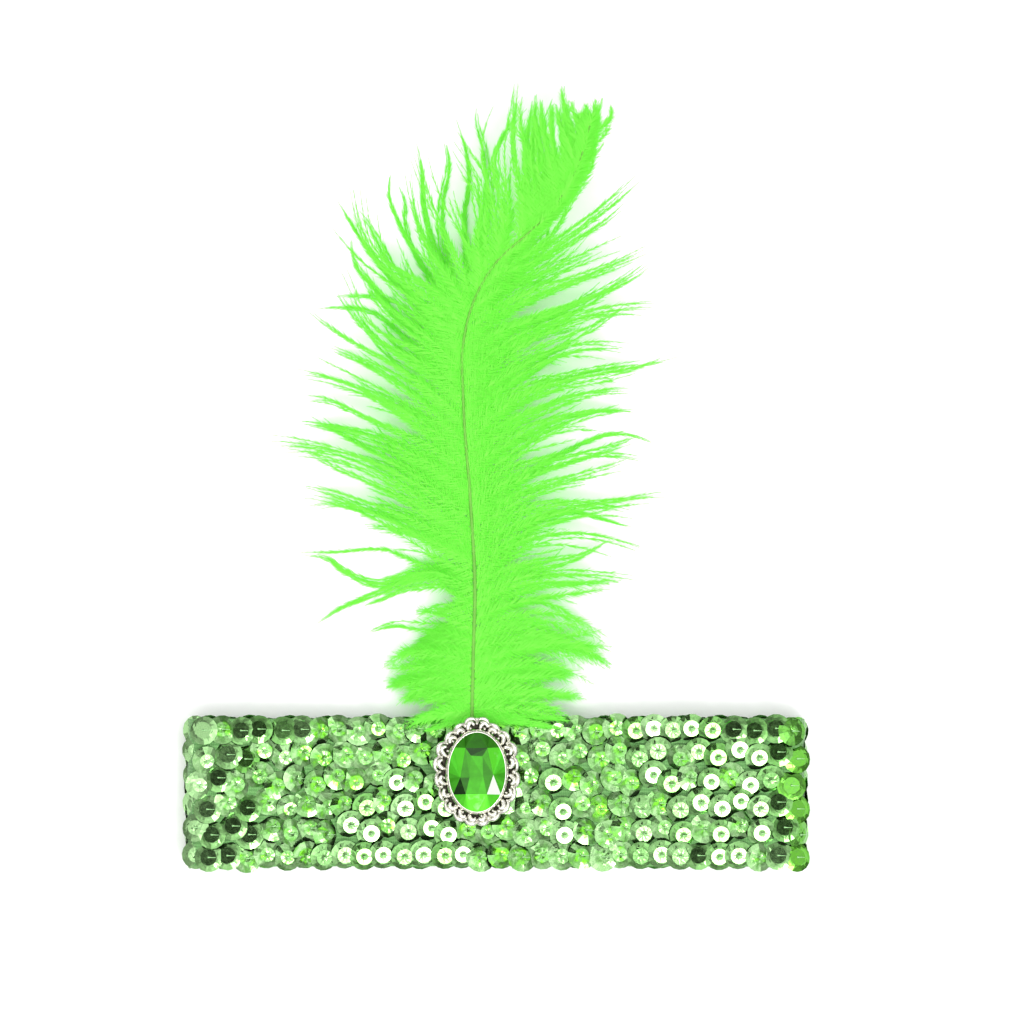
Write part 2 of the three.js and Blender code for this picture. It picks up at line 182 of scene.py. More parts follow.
class Finish:
    """A procedural finish, built node by node."""

    def __init__(self, tree):
        self.tree = tree
        tree.nodes.clear()

    def add(self, kind, settings=None, sockets=None, output=0):
        node = self.tree.nodes.new("ShaderNode" + kind)
        for name, value in (settings or {}).items():
            if name == "stops":
                self.set_stops(node.color_ramp, value)
            else:
                setattr(node, name, value)
        for name, value in (sockets or {}).items():
            self.feed(node.inputs[name], value)
        return Wire(self, node.outputs[output])

    def set_stops(self, ramp, stops):
        while len(ramp.elements) < len(stops):
            ramp.elements.new(1.0)
        for element, (place, value) in zip(ramp.elements, stops):
            element.position = place
            element.color = (*value, 1.0) if isinstance(value, tuple) else (value,) * 3 + (1.0,)

    def feed(self, socket, value):
        if isinstance(value, Wire):
            self.tree.links.new(value.socket, socket)
        elif isinstance(value, tuple) and len(value) == 3 and socket.type == "RGBA":
            socket.default_value = (*value, 1.0)
        else:
            socket.default_value = value

    def math(self, operation, left, right):
        return self.add("Math", {"operation": operation}, {0: left, 1: right})

    def place(self):
        return self.add("TexCoord", output="Object")

    def axis(self, vector, name):
        return self.add("SeparateXYZ", None, {0: vector}, name)

    def mix(self, factor, first, second, blend="MIX"):
        sockets = {0: factor, 6: first, 7: second}
        return self.add("Mix", {"data_type": "RGBA", "blend_type": blend}, sockets, 2)

    def noise(self, scale, detail=2.0, roughness=0.5, place=None, output=0):
        sockets = {"Vector": place or self.place(), "Scale": scale, "Detail": detail,
                   "Roughness": roughness}
        return self.add("TexNoise", None, sockets, output)

    def ramp(self, value, stops):
        return self.add("ValToRGB", {"stops": stops}, {0: value})

    def bump(self, height, strength, distance):
        sockets = {"Height": height, "Strength": strength, "Distance": distance}
        return self.add("Bump", None, sockets)

    def surface(self, shader):
        self.feed(self.tree.nodes.new("ShaderNodeOutputMaterial").inputs["Surface"], shader)


def new_finish(name):
    material = bpy.data.materials.new(name)
    material.use_nodes = True
    return material, Finish(material.node_tree)


def sequin_finish():
    """Metallised film: each sequin has its own tone, with painted shade and painted reflection at the
    folds and in the middles, and with crinkles and fine scuffs.
    """
    material, look = new_finish("sequin_film")
    tone = look.add("Attribute", {"attribute_name": "tone"}, output="Fac")
    scuffs = look.noise(900.0, 3.0, 0.6)
    flecks = look.noise(1300.0, 3.0, 0.6)
    colour = look.ramp(tone * 0.6 + flecks * 0.4, [
        (0.1, (0.14, 0.52, 0.02)), (0.4, (0.13, 0.335, 0.08)), (0.8, (0.29, 0.51, 0.22)),
    ])
    crease = look.add("Attribute", {"attribute_name": "crease"}, output="Fac")
    crinkles = (look.noise(520.0, 2.0) + flecks * 0.3) * crease
    look.surface(look.add("BsdfPrincipled", None, {
        "Base Color": colour,
        "Metallic": 0.97,
        "Roughness": scuffs * 0.2 + 0.06,
        "Coat Weight": 0.15,
        "Coat Roughness": 0.08,
        "Normal": look.bump(crinkles, 0.6, 0.0002),
    }))
    return material


def thread_finish():
    material, look = new_finish("sewing_thread")
    twist = look.add("TexWave", {"bands_direction": "DIAGONAL"}, {
        "Vector": look.place(), "Scale": 1400.0, "Distortion": 0.4,
    }, output=1)
    look.surface(look.add("BsdfPrincipled", None, {
        "Base Color": look.mix(twist, (0.26, 0.62, 0.20), (0.45, 0.82, 0.36)),
        "Roughness": 0.5,
        "Sheen Weight": 0.3,
        "Normal": look.bump(twist, 0.5, 0.0001),
    }))
    return material


def elastic_finish():
    """Knitted elastic: ribs along the loop, crossed by fine courses."""
    material, look = new_finish("knitted_elastic")
    place = look.place()
    rib_width = 1.1 * MM
    course_width = 0.7 * MM
    ribs = look.math("SINE", look.axis(place, "Y") * (2 * math.pi / rib_width), 0.0) * 0.5 + 0.5
    courses = look.math("SINE", look.axis(place, "X") * (2 * math.pi / course_width), 0.0)
    courses = courses * 0.5 + 0.5
    knit = ribs * 0.65 + courses * 0.35
    fuzz = look.noise(1500.0, 4.0, 0.7)
    colour = look.mix(knit * 0.7 + fuzz * 0.3, (0.07, 0.23, 0.05), (0.18, 0.42, 0.13))
    look.surface(look.add("BsdfPrincipled", None, {
        "Base Color": colour,
        "Roughness": 0.85,
        "Sheen Weight": 0.35,
        "Normal": look.bump(knit + fuzz * 0.4, 0.8, 0.0003),
    }))
    return material


def felt_finish():
    material, look = new_finish("green_felt")
    fibres = look.noise(2200.0, 6.0, 0.75)
    look.surface(look.add("BsdfPrincipled", None, {
        "Base Color": look.mix(fibres, (0.04, 0.18, 0.03), (0.16, 0.42, 0.10)),
        "Roughness": 0.95,
        "Sheen Weight": 0.5,
        "Normal": look.bump(fibres, 0.9, 0.0003),
    }))
    return material


def metal_finish(bottom, height):
    """Plated casting: bright on its high places, with dark patina left in the recesses."""
    material, look = new_finish("cast_silver")
    level = (look.axis(look.place(), "Z") - bottom * MM) / (height * MM)
    grain = look.noise(1100.0, 3.0, 0.6)
    wear = look.ramp(level + grain * 0.35 - 0.17, [(0.34, 0.0), (0.74, 1.0)])
    colour = look.mix(wear, (0.06, 0.056, 0.042), (0.76, 0.75, 0.67))
    look.surface(look.add("BsdfPrincipled", None, {
        "Base Color": colour,
        "Metallic": 1.0,
        "Roughness": 0.46 - wear * 0.26 + grain * 0.1,
        "Normal": look.bump(look.noise(700.0, 3.0), 0.35, 0.00025),
    }))
    return material


def stone_finish():
    """Foil-backed glass: a painted tone by facet, which stands in for its reflections and shade,
    drifting a little within each, under a hard gloss.
    """
    material, look = new_finish("green_stone")
    tone = look.add("Attribute", {"attribute_name": "tone"}, output="Fac")
    drift = look.noise(420.0, 2.0)
    # Painted light: the tone paints each facet's reflection and shade, and the top stop is a white
    # painted highlight
    colour = look.ramp(tone + drift * 0.16 - 0.08, [
        (0.0, (0.006, 0.03, 0.003)), (0.34, (0.035, 0.22, 0.008)), (0.6, (0.07, 0.50, 0.02)),
        (0.84, (0.14, 0.85, 0.04)), (0.97, (0.9, 0.95, 0.85)),
    ])
    look.surface(look.add("BsdfPrincipled", None, {
        "Base Color": colour,
        "Metallic": 0.6,
        "Roughness": 0.16,
        "Specular IOR Level": 0.1,
        "Coat Weight": 0.2,
        "Coat Roughness": 0.02,
    }))
    return material


def plume_finish(name, low, high, see_through, painted_glow):
    """Neon-dyed feather: matt and lets light through, with a painted glow of its own colour given out
    as emission.
    """
    material, look = new_finish(name)
    strands = look.noise(230.0, 3.0, 0.6)
    colour = look.mix(strands, low, high)
    matt = look.add("BsdfPrincipled", None, {
        "Base Color": colour,
        "Roughness": 0.75,
        "Specular IOR Level": 0.2,
        # Painted glow: the feather gives out light of its own colour, though it is no lamp
        "Emission Color": colour,
        "Emission Strength": painted_glow,
    })
    through = look.add("BsdfTranslucent", None, {"Color": colour})
    look.surface(look.add("MixShader", None, {0: see_through, 1: matt, 2: through}))
    return material


def loop_line(steps):
    """The wall's centre line, closed, as [x, z] round the loop, front run from right to left."""
    straight = elastic_length / 2 - elastic_thickness / 2 - fold_radius
    turn = np.linspace(-np.pi / 2, np.pi / 2, steps)
    fold = np.stack([straight + fold_radius * np.cos(turn),
                     back_centre + fold_radius * (1 + np.sin(turn))], 1)
    ease = np.linspace(1, 0, steps)
    share = ease * ease * (3 - 2 * ease)
    dip = (fold_hollow - middle_hollow) * (1 - share)
    front = np.stack([flat_middle / 2 + elastic_ease * ease,
                      back_centre + 2 * fold_radius - dip], 1)
    right = np.concatenate([fold, front])
    return np.concatenate([right, (right * [-1, 1])[::-1]])


def loop_seats():
    """How many sequins go round the loop, how long it is on the elastic's outside, and a
    function for the place at a distance along it."""
    line = loop_line(40)
    ahead = np.roll(line, -1, 0) - np.roll(line, 1, 0)
    along = unit(ahead)
    line = line + np.stack([along[:, 1], -along[:, 0]], 1) * (elastic_thickness / 2 + sewn_gap)
    line = np.concatenate([line, line[:1]])
    reach = np.concatenate([[0], np.cumsum(np.linalg.norm(np.diff(line, axis=0), axis=1))])
    count = round(reach[-1] / sequin_pitch)

    def at(distance):
        distance = np.mod(distance, reach[-1])
        return np.stack([np.interp(distance, reach, line[:, k]) for k in (0, 1)], -1)

    return count, reach[-1], at


# Zones of the band's front where many sequins lean one way. along, across: the zone's middle
# from the band's own. wide, deep: its half sizes. share: how many of its sequins lean so.
# lean_x, lean_y: how far they lean to the right and up, in degrees.
zones = [
    # along, across, wide, deep, share, lean_x, lean_y
    (50, -17, 10, 6, 1.0, 8, -13),
    (54, 7, 11, 13, 0.8, 8, -13),
    (75, 2, 11, 12, 0.95, 8, -13),
    (76, -15, 8, 5, 0.8, 8, -13),
    (64, 20, 9, 4, 0.7, 8, -13),
    (20, -7, 9, 12, 0.5, 8, -13),
    (-33, -19, 25, 6, 0.95, 8, -13),
    (-33, -9, 19, 5, 0.85, 8, -13),
    (-25, 5, 6, 8, 0.4, 8, -13),
    (-74, 20, 19, 4, 0.85, -6, 9),
    (-81, 0, 6, 14, 0.6, -6, 8),
    (-84, -13, 9, 8, 0.7, -6, 9),
    (89, 0, 6, 24, 0.8, -6, 9),
    (80, 20, 11, 4, 0.7, -6, 9),
    (65, -16, 3, 5, 0.9, -6, 9),
]


# How the rest lean, and how they are sewn
usual_lean = (8.0, 1.0)
back_lean = (8.0, 0.0)
splay_right = 1.2
splay_left = 1.8
edge_zigzag = 0.3
inner_zigzag = 1.1
seat_lift = 1.05
side_sink = 0.6
past_fold = 1.7


def sequin_lean(x, y):
    """How far a sequin at a place on the front leans to the right and up, in degrees, and
    whether it does so as one of a zone."""
    for along, across, wide, deep, share, lean_x, lean_y in zones:
        inside = abs(x - along) < wide and abs(y - across) < deep
        if inside and sewing.uniform() < share:
            return np.array([lean_x, lean_y]) + sewing.normal(0, 1.4, 2), True
    ripple = [2.5 * math.sin(x * 0.21 + y * 0.5), 2.5 * math.sin(x * 0.17 - y * 0.4)]
    return np.array(usual_lean) + ripple + sewing.normal(0, 6.0, 2), False


# One sequin's own shape. The film is drawn a little wider than the model's, so that they overlap.
sequin_sides = 16
hole_radius = 0.38
dimple_radius = 1.15
true_flat = 2.6
shoulder_radius = 3.3
film_radius = 4.55
film_thickness = 0.06
flute_depth = 0.07


def sequin_cup(flat, bend, dent=0.14):
    """A cup sequin, domed side up: a flat middle and a fluted rim. bend: how far its edges are
    bent up or down along one diameter. dent: how deep the thread pulls in its hole."""
    turn = 2 * np.pi * np.arange(sequin_sides) / sequin_sides
    flutes = np.where(np.arange(sequin_sides) % 2, flute_depth, -flute_depth)
    flutes = flutes + sewing.normal(0, 0.05, sequin_sides)
    flat_share = 0.25 if bend else 0.0
    rings = [
        # radius, height, share of the flutes
        (hole_radius, -dent, dent * 2),
        (dimple_radius, 0.0, dent),
        (flat, 0.0, flat_share),
        (shoulder_radius, -0.42, 0.7),
        (film_radius, -0.9, 1.0),
        (film_radius - 0.02, -0.95, 1.0),
        (flat, -film_thickness, flat_share),
        (dimple_radius, -film_thickness, dent),
        (hole_radius + 0.02, -dent - film_thickness, dent * 2),
        (hole_radius, -dent, dent * 2),
    ]
    points = np.concatenate([
        np.stack([radius * np.cos(turn), radius * np.sin(turn), height + share * flutes], 1)
        for radius, height, share in rings])
    points[:, 2] += bend * (points[:, 0] / film_radius) ** 2
    quads = ring_faces(len(rings), sequin_sides)
    return points, np.concatenate([quads[:, [0, 1, 2]], quads[:, [0, 2, 3]]])


# A stitch comes up through the hole and runs over the rim: its path and its radii
stitch_points, stitch_faces = tube(
    [(0.1, 0, -0.3), (0.05, 0, 0.08), (-0.3, 0.03, 0.12), (-0.9, 0.06, 0.08), (-2.3, 0.1, 0.03)],
    [0.26, 0.3, 0.17, 0.1, 0.09], 6)


def seat_sequin(at, distance, seat, row):
    """One sequin's place along the band, its axes and its middle, how far it leans to the right,
    and whether it leans as one of a zone."""
    x, z = at(distance)
    ahead = unit(at(distance + 1.5) - at(distance - 1.5))
    along = np.array([ahead[0], 0, ahead[1]])
    out = np.array([ahead[1], 0, -ahead[0]])
    facing = out[2]
    front = facing > 0.5
    # Round the folds they splay, more face up than the elastic under them
    if facing > 0.05:
        splay = splay_right if x > 0 else splay_left
        out = unit(out + [0.0, 0.0, splay * (1 - facing)])
        along = np.array([-out[2], 0.0, out[0]])
    # Zigzag of the sewing, less at the band's edges
    outer = row in (0, sequin_rows - 1)
    zigzag = (edge_zigzag if outer else inner_zigzag) * (1 if seat % 2 else -1)
    drift = zigzag + sewing.normal(0, 0.15 if outer else 0.4)
    across = row * row_pitch - (band_edge - sequin_radius)
    y = across * (0.975 if front else 0.95) + drift
    if front:
        lean, zoned = sequin_lean(x, y)
    else:
        lean, zoned = sewing.normal(back_lean, 2.0), False
    lean_x, lean_y = np.radians(lean)
    face = unit(out - along * math.tan(lean_x) + np.array([0.0, math.tan(lean_y), 0.0]))
    along = unit(along - face * np.dot(along, face))
    lift = seat_lift + 0.012 * abs(lean[1]) * front + sewing.uniform(0, 0.15)
    # Those on the folds' sides stand less proud
    lift -= side_sink * np.clip(1.2 - abs(facing) * 1.5, 0, 1)
    middle = np.array([x + band_x, y + band_y, z]) + out * lift
    # None stands out past the fold by more than its rim
    past = abs(middle[0] - band_x) + 4.4 * abs(face[2]) - elastic_length / 2 - past_fold
    middle[0] -= math.copysign(max(past, 0.0), x)
    return x, np.stack([along, np.cross(face, along), face]), middle, lean[0], zoned


def film_marks(x, zoned, count):
    """The tone of each of a sequin's points, with painted shade and painted reflection in it, and how
    creased its film is.
    """
    # Painted light: the right fold's sequins are painted a deeper, yellower green as painted shade,
    # and the left fold's are painted pale as a painted reflection
    end = np.clip((abs(x) - elastic_length / 2 + 9) / 5, 0, 1)
    fold_painted_light = 0.05 if x > 0 else 1.0
    tone = np.clip(sewing.normal(0.6, 0.14) * (1 - end) + fold_painted_light * end, 0, 1)
    tones_and_painted_light = np.full(count, tone)
    if zoned:
        return tones_and_painted_light, 0.12
    # Bent film shows uneven tones, and its middle is painted darker than its rim, as painted shade
    tones_and_painted_light = tones_and_painted_light + sewing.normal(0, 0.3 * (1 - end), count) + 0.12
    tones_and_painted_light[:3 * sequin_sides] -= 0.36 * (1 - end)
    return tones_and_painted_light, sewing.uniform(0.3, 1.0)


def make_sequins():
    film = sequin_finish()
    thread = thread_finish()
    light_cups = [sequin_cup(true_flat, 0.0) for _ in range(4)]
    dark_cups = [sequin_cup(true_flat, 0.0, 0.0) for _ in range(4)]
    bent_cups = [sequin_cup(sewing.uniform(1.8, 2.35), bend) for bend in
                 (-0.7, -0.55, -0.4, -0.3, -0.15, 0.15, 0.25)]
    count, length, at = loop_seats()
    for row in range(sequin_rows):
        discs, stitches, tones_and_painted_light, creases = [], [], [], []
        offset = sewing.uniform(0, 1)
        for seat in range(count):
            distance = (seat + offset) * length / count + sewing.normal(0, 0.35)
            x, axes, middle, lean_x, zoned = seat_sequin(at, distance, seat, row)
            size = sewing.normal(1.0, 0.02)
            # In the zones that lean to the left, flat middles reflect the dark flag
            cups = bent_cups
            if zoned:
                cups = dark_cups if lean_x < 0 else light_cups
            points, faces = cups[sewing.integers(len(cups))]
            spin = sewing.uniform(0, 2 * np.pi)
            spun = points @ np.array([[math.cos(spin), math.sin(spin), 0],
                                      [-math.sin(spin), math.cos(spin), 0], [0, 0, 1]])
            discs.append((spun * size @ axes + middle, faces))
            stitches.append((stitch_points @ axes + middle, stitch_faces))
            film_tones_and_painted_light, crease = film_marks(x, zoned, len(points))
            tones_and_painted_light.append(film_tones_and_painted_light)
            creases.append(np.full(len(points), crease))
        points, faces = join(discs)
        points[:, 2] = np.maximum(points[:, 2], 0.0)
        piece = add_piece(f"sequins_{row + 1}", points, faces, film, smooth=False,
                          marks={"tone": np.concatenate(tones_and_painted_light), "crease": np.concatenate(creases)})
        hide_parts(f"sequin_row_{row + 1}")
        points, faces = join(stitches)
        points[:, 2] = np.maximum(points[:, 2], 0.0)
        add_piece(f"stitches_{row + 1}", points, faces, thread)


setting_low, setting_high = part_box("setting")
setting_x = (setting_low.x + setting_high.x) / 2 / MM
setting_y = (setting_low.y + setting_high.y) / 2 / MM
setting_z = setting_low.z / MM
setting_height = 4.6
setting_scallops = 20
stone_x = 9
stone_y = 12.5
stone_crown = 2.3


def oval(turn, half_width, half_length, height):
    turn = np.asarray(turn, float)
    height = np.broadcast_to(height, turn.shape)
    return np.stack([setting_x + half_width * np.cos(turn),
                     setting_y + half_length * np.sin(turn), setting_z + height], -1)


def oval_band(section, steps=120):
    """A closed moulding round the stone: section is (out from the stone's edge, height)."""
    turn = 2 * np.pi * np.arange(steps) / steps
    rings = [oval(turn, stone_x + out, stone_y + out, height) for out, height in section]
    return np.concatenate(rings), ring_faces(len(section), steps, closed=True)


def ball(centre, radius, squash=1.0, rings=7, sides=10):
    tilt = np.linspace(0.02, np.pi - 0.02, rings)
    turn = 2 * np.pi * np.arange(sides) / sides
    points = np.stack([
        np.outer(np.sin(tilt), np.cos(turn)),
        np.outer(np.sin(tilt), np.sin(turn)),
        np.repeat(np.cos(tilt)[:, None], sides, 1) * squash,
    ], -1)
    return points.reshape(-1, 3) * radius + centre, ring_faces(rings, sides)


def make_setting():
    """Tray, thin bezel and a pierced border of scrolls, leaves and beads, none quite alike."""
    silver = metal_finish(setting_z, setting_height)
    tray = oval_band([(-0.6, 0.0), (2.7, 0.0), (3.2, 0.5), (3.0, 1.2), (1.6, 1.4), (0.35, 1.4),
                      (0.3, 1.0), (-0.6, 1.0)])
    collar = oval_band([(0.3, 1.0), (1.0, 1.0), (1.0, 2.9), (0.85, 3.5), (0.45, 4.0),
                        (0.1, 4.4), (-0.15, 4.5), (-0.2, 4.4), (0.25, 3.9)])
    parts = [tray, collar]

    def along_rim(turns, outs, heights):
        path = oval(turns, 0, 0, heights)
        path[:, 0] += (stone_x + outs) * np.cos(turns)
        path[:, 1] += (stone_y + outs) * np.sin(turns)
        return path

    span = np.pi / setting_scallops
    curl = np.linspace(0, 1, 11)
    for k in range(setting_scallops):
        middle = 2 * np.pi * (k + 0.5) / setting_scallops
        skew, puff, thick, rise = casting.normal(0, [0.12, 0.22, 0.09, 0.2])
        hand = 1 if casting.uniform() < 0.6 else -1
        # Outer arch of the scallop
        sweep = np.linspace(-1, 1, 13)
        bulge = 2.5 + (1.45 + puff) * np.sqrt(np.maximum(0, 1 - sweep ** 2))
        arch = along_rim(middle + span * sweep, bulge, 2.5 + (0.9 + rise) * (1 - sweep ** 2))
        parts.append(tube(arch, 0.5 + thick + 0.22 * (1 - sweep ** 2), 7))
        # Leaf that curls inside the arch and laps over the bezel
        leaf_turn = middle + span * hand * (0.7 - 1.4 * curl + skew)
        leaf_out = 1.1 + (1.7 + puff) * np.sin(curl * np.pi * 0.85)
        leaf = along_rim(leaf_turn, leaf_out, 3.0 + (0.9 + rise) * curl)
        parts.append(tube(leaf, 0.34 + 0.5 * np.sin(np.pi * (0.15 + 0.8 * curl)), 7))
        # Bead where two scallops meet, and its foot on the tray
        joint = middle + span
        size = casting.uniform(0.5, 0.85)
        parts.append(ball(oval(joint, stone_x + 2.6, stone_y + 2.6, 3.1 + rise), size))
        parts.append(ball(oval(joint, stone_x + 2.7, stone_y + 2.7, 1.5), 0.8, 1.6))
        # Grain against the bezel
        grain_turn = middle + span * casting.uniform(-0.6, 0.6)
        parts.append(ball(oval(grain_turn, stone_x + 1.35, stone_y + 1.35, 3.7), 0.42))
    # Little crown at the top
    for shift, out, size in ((-0.13, 3.0, 0.6), (0.0, 3.9, 0.75), (0.13, 3.0, 0.6)):
        top = np.pi / 2 + shift
        parts.append(ball(oval(top, stone_x + out, stone_y + out, 3.5), size))
    points, faces = join(parts)
    piece = add_piece("cast_setting", points, faces, silver)
    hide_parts("setting")


def make_stone():
    """Oval cut. Each facet has its own tone of painted reflection and painted shade, in place of the
    foiled pavilion that would show through it.
    """
    stone_low, stone_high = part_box("stone")
    base = stone_low.z / MM
    top = stone_high.z / MM
    girdle = top - stone_crown

    def rim(degrees):
        """A place on the girdle."""
        turn = math.radians(degrees)
        return (stone_x * math.cos(turn), stone_y * math.sin(turn), girdle)

    table = {
        "a": (3.1, -6.8), "b": (5.1, -0.8), "c": (3.3, 7.6), "d": (-3.6, 7.6),
        "e": (-5.2, -1.6), "f": (-3.5, -6.8), "g": (1.7, 5.0), "h": (-1.9, 5.2),
        "i": (1.9, -1.2), "j": (-2.3, -1.6), "k": (0.2, -6.8),
    }
    places = {name: (x, y, top) for name, (x, y) in table.items()}
    # Degrees round the girdle
    corners = {"A": -34, "B": 0, "C": 38, "m": 64, "n": 90, "o": 116, "D": 142, "E": 180,
               "F": 214, "p": 242, "q": 270, "r": 298}
    places.update((name, rim(degrees)) for name, degrees in corners.items())
    # Facets from the table outwards, with the tone of each, which is painted reflection and painted
    # shade. The white one is a painted highlight.
    facets = [
        ("cdh", 0.0), ("chg", 0.06), ("cgb", 0.3), ("gib", 0.2), ("ghi", 0.38), ("hji", 0.33),
        ("dej", 0.24), ("djh", 0.3), ("bia", 0.22), ("iak", 0.4), ("ijk", 0.36), ("jkf", 0.38),
        ("jef", 0.1), ("abA", 1.12), ("bBA", 0.52), ("bCB", 0.6), ("bcC", 0.82), ("cmC", 0.34),
        ("cnm", 0.24), ("cdn", 0.16), ("don", 0.24), ("dDo", 0.36), ("deD", 0.72), ("eED", 0.58),
        ("eFE", 0.46), ("efF", 0.0), ("fpF", 0.68), ("fqp", 0.8), ("faq", 0.84), ("arq", 0.8),
        ("aAr", 0.72),
    ]
    points, faces, tones_and_painted_light = [], [], []

    def add_facet(corners, tone):
        corners = np.array(corners)
        normal = np.cross(corners[1] - corners[0], corners[2] - corners[0])
        if np.dot(normal, corners.mean(0) - [0, 0, girdle - 1]) < 0:
            corners = corners[::-1]
        faces.append([len(points) + k for k in range(3)])
        points.extend(corners + [setting_x, setting_y, 0.0])
        tones_and_painted_light.extend([tone] * 3)

    def along_girdle(first, last):
        """Places along the girdle from one corner to the next."""
        swing = (corners[last] - corners[first] + 180) % 360 - 180
        return [rim(corners[first] + swing * share) for share in np.linspace(0, 1, 5)]

    for names, tone in facets:
        if names[1] in corners and names[2] in corners:
            edge = along_girdle(names[1], names[2])
            for here, after in zip(edge, edge[1:]):
                add_facet([places[names[0]], here, after], tone)
        else:
            add_facet([places[name] for name in names], tone)
    # Girdle wall and the flat back
    order = list(corners)
    for name, following in zip(order, order[1:] + order[:1]):
        edge = along_girdle(name, following)
        for here, after in zip(edge, edge[1:]):
            low, low_after = (*here[:2], base), (*after[:2], base)
            add_facet((here, low, after), 0.3)
            add_facet((after, low, low_after), 0.3)
            add_facet((low, low_after, (0, 0, base)), 0.2)
    stone = add_piece("stone_oval", points, faces, stone_finish(), smooth=False,
                      marks={"tone": np.array(tones_and_painted_light)})
    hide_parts("stone")


# The shaft's route, as shares of the plume's length and of the curl's height
shaft_route = [
    # along, aside, lift
    (0.0, 0.0, 0.0), (0.1, 0.002, -0.06), (0.21, 0.005, -0.12), (0.37, -0.003, -0.1),
    (0.54, -0.015, 0.02), (0.633, -0.015, 0.16), (0.71, 0.005, 0.32), (0.775, 0.045, 0.46),
    (0.82, 0.096, 0.58), (0.86, 0.137, 0.7), (0.909, 0.168, 0.83), (0.956, 0.188, 0.93),
    (1.0, 0.2, 1.0),
]
# Locks of barbs, as the model has them. root: share of the shaft. reach: sideways, of the
# plume's reach. sweep: onwards, of its length. lean: degrees at the root. tip: height of the tip.
left_locks = [
    # root, reach, sweep, lean, tip
    (0.004, 0.32, -0.015, 84, 1.06), (0.03, 0.46, -0.009, 76, 0.5), (0.06, 0.5, -0.012, 70, 0.3),
    (0.085, 0.46, -0.004, 66, 0.25), (0.105, 0.4, 0.009, 64, 0.2), (0.128, 0.36, 0.015, 64, 0.15),
    (0.15, 0.3, 0.015, 66, 0.12), (0.18, 0.15, 0.002, 70, 0.1), (0.218, 0.7, 0.094, 66, 0.03),
    (0.235, 0.9, 0.11, 60, 0.03), (0.265, 0.96, 0.146, 52, 0.03), (0.285, 1.02, 0.14, 48, 0.03),
    (0.312, 0.93, 0.138, 46, 0.03), (0.335, 0.9, 0.134, 44, 0.03), (0.36, 0.92, 0.141, 42, 0.03),
    (0.4, 0.87, 0.166, 40, 0.03), (0.425, 0.78, 0.168, 38, 0.03), (0.455, 0.75, 0.169, 36, 0.05),
    (0.482, 0.79, 0.176, 35, 0.07), (0.508, 0.7, 0.17, 34, 0.1), (0.53, 0.6, 0.163, 32, 0.14),
    (0.56, 0.58, 0.222, 30, 0.2), (0.578, 0.68, 0.228, 30, 0.3), (0.592, 0.61, 0.237, 29, 0.4),
    (0.607, 0.42, 0.23, 27, 0.5), (0.625, 0.39, 0.257, 26, 0.65), (0.65, 0.29, 0.282, 24, 0.8),
    (0.667, 0.22, 0.262, 23, 0.95), (0.688, 0.11, 0.279, 22, 1.1), (0.71, 0.06, 0.303, 24, 1.3),
    (0.735, 0, 0.262, 28, 1.5), (0.765, 0.02, 0.264, 36, 1.7), (0.8, 0.06, 0.237, 44, 1.9),
    (0.835, 0.07, 0.208, 42, 2.05), (0.875, 0.07, 0.174, 33, 2.2), (0.91, 0.05, 0.134, 25, 2.35),
    (0.95, 0.02, 0.088, 16, 2.5), (0.98, -0, 0.051, 9, 2.6),
]
right_locks = [
    # root, reach, sweep, lean, tip
    (0.004, 0.46, -0.015, 84, 1.06), (0.025, 0.55, -0.003, 76, 0.5),
    (0.05, 0.58, -0.008, 72, 0.35), (0.075, 0.68, 0.004, 68, 0.2), (0.1, 0.72, -0.008, 64, 0.15),
    (0.122, 0.67, -0.001, 60, 0.1), (0.145, 0.81, 0.032, 57, 0.06), (0.16, 0.84, 0.044, 54, 0.04),
    (0.175, 0.89, 0.046, 52, 0.03), (0.197, 0.82, 0.072, 50, 0.03), (0.21, 0.85, 0.079, 48, 0.03),
    (0.225, 0.9, 0.08, 47, 0.03), (0.245, 0.92, 0.089, 46, 0.03), (0.265, 0.87, 0.098, 45, 0.03),
    (0.287, 0.86, 0.112, 44, 0.03), (0.312, 0.98, 0.122, 43, 0.03), (0.33, 0.91, 0.129, 42, 0.03),
    (0.35, 0.92, 0.136, 42, 0.03), (0.37, 0.84, 0.144, 41, 0.04), (0.387, 0.92, 0.148, 40, 0.05),
    (0.42, 0.97, 0.16, 40, 0.07), (0.453, 0.88, 0.159, 40, 0.1), (0.483, 0.9, 0.162, 40, 0.14),
    (0.505, 0.98, 0.161, 39, 0.2), (0.54, 1.05, 0.166, 38, 0.26), (0.57, 0.93, 0.159, 36, 0.35),
    (0.615, 0.87, 0.181, 33, 0.5), (0.65, 0.84, 0.194, 30, 0.65), (0.69, 0.67, 0.198, 26, 0.85),
    (0.725, 0.49, 0.141, 22, 1), (0.8, 0.31, 0.143, 12, 2.1), (0.85, 0.24, 0.14, 10, 2.3),
    (0.9, 0.16, 0.113, 8, 2.45), (0.95, 0.07, 0.08, 6, 2.55), (0.985, 0.01, 0.047, 4, 2.6),
]


def smooth_line(points, steps):
    """A smooth line through points, evenly spaced."""
    points = np.asarray(points, float)
    reach = np.concatenate([[0], np.cumsum(np.linalg.norm(np.diff(points, axis=0), axis=1))])
    slope = np.gradient(points, reach, axis=0)
    fine = np.linspace(0, reach[-1], steps)
    part = np.clip(np.searchsorted(reach, fine, "right") - 1, 0, len(points) - 2)
    width = (reach[part + 1] - reach[part])[:, None]
    t = ((fine - reach[part]) / width[:, 0])[:, None]
    return ((2 * t ** 3 - 3 * t ** 2 + 1) * points[part]
            + (t ** 3 - 2 * t ** 2 + t) * width * slope[part]
            + (3 * t ** 2 - 2 * t ** 3) * points[part + 1]
            + (t ** 3 - t ** 2) * width * slope[part + 1])


